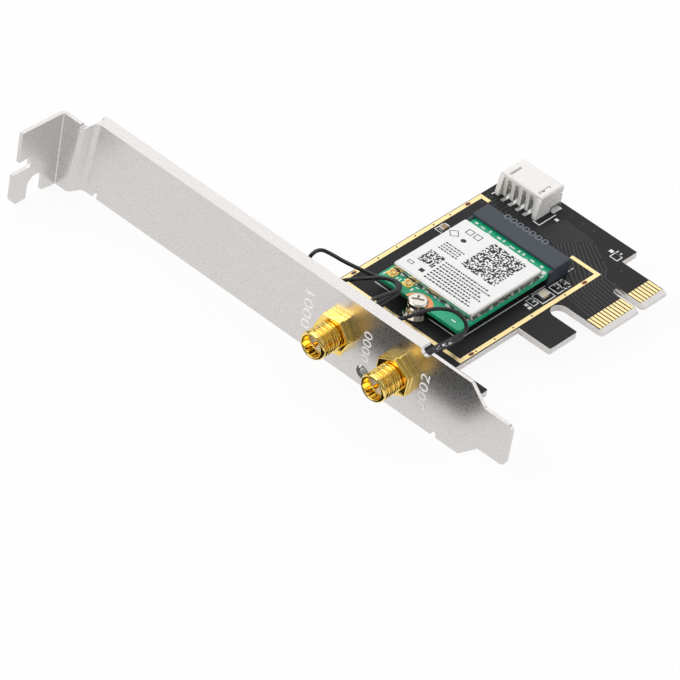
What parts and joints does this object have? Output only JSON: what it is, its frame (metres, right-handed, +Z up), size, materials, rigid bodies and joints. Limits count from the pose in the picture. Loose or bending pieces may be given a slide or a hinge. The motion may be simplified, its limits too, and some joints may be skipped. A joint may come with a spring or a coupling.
{
  "type": "pcie wireless network card",
  "caption": "Short PCI Express wireless card: full-height bracket with two threaded aerial jacks, socketed radio module and header.",
  "frame": {"origin": "on the underside of the bracket's screw flange, at the centre of the screw slot's round end", "axes": "+X along the bracket from the screw flange to the tongue and towards the edge connector's tips, +Y into the computer, +Z up from the component side of the board"},
  "size_m": [0.1204, 0.0865, 0.0188],
  "materials": {
    "bracket_steel": "satin plated sheet steel",
    "board_mask": "matt black solder mask on glass-fibre laminate",
    "gold_plate": "immersion gold on copper",
    "module_mask": "glossy green solder mask",
    "copper": "bare copper ring",
    "shield_tin": "pressed tin-plated steel can",
    "label_paper": "smooth white label",
    "socket_plastic": "dark slate moulded plastic",
    "tin": "tin plate",
    "nickel": "bright nickel plate",
    "gold_bright": "polished gold-plated brass",
    "insulator": "white fluoropolymer",
    "sleeve": "black shrink tube",
    "lead_jacket": "black coaxial jacket",
    "header_nylon": "white moulded nylon",
    "ceramic_tan": "tan ceramic",
    "ceramic_dark": "black glazed ceramic",
    "light_lens": "clear moulded lens"
  },
  "bodies": {
    "root": {"bracket": "bracket_steel", "main_board": "board_mask", "edge_contacts": "gold_plate", "gold_frame": "gold_plate", "socket_housing": "socket_plastic", "socket_contacts": "tin", "module_board": "module_mask", "module_pad": "copper", "module_shield": "shield_tin", "module_label": "label_paper", "receptacle_1": "gold_plate", "receptacle_2": "gold_plate", "standoff": "nickel", "module_screw": "nickel", "board_screws": "nickel", "jack_1_shell": "gold_bright", "jack_2_shell": "gold_bright", "jack_1_inner_nut": "gold_bright", "jack_2_inner_nut": "gold_bright", "jack_1_outer_nut": "gold_bright", "jack_2_outer_nut": "gold_bright", "jack_1_insulator": "insulator", "jack_2_insulator": "insulator", "jack_1_pin": "gold_bright", "jack_2_pin": "gold_bright", "jack_1_sleeve": "sleeve", "jack_2_sleeve": "sleeve", "lead_1": "lead_jacket", "lead_2": "lead_jacket", "plug_1": "gold_plate", "plug_2": "gold_plate", "header_housing": "header_nylon", "header_pins": "tin", "header_tabs": "tin", "capacitor_body": "ceramic_tan", "capacitor_ends": "tin", "fuse_body": "ceramic_dark", "fuse_ends": "tin", "resistor_bodies": "ceramic_dark", "resistor_ends": "tin", "status_light": "light_lens"}
  },
  "joints": []
}
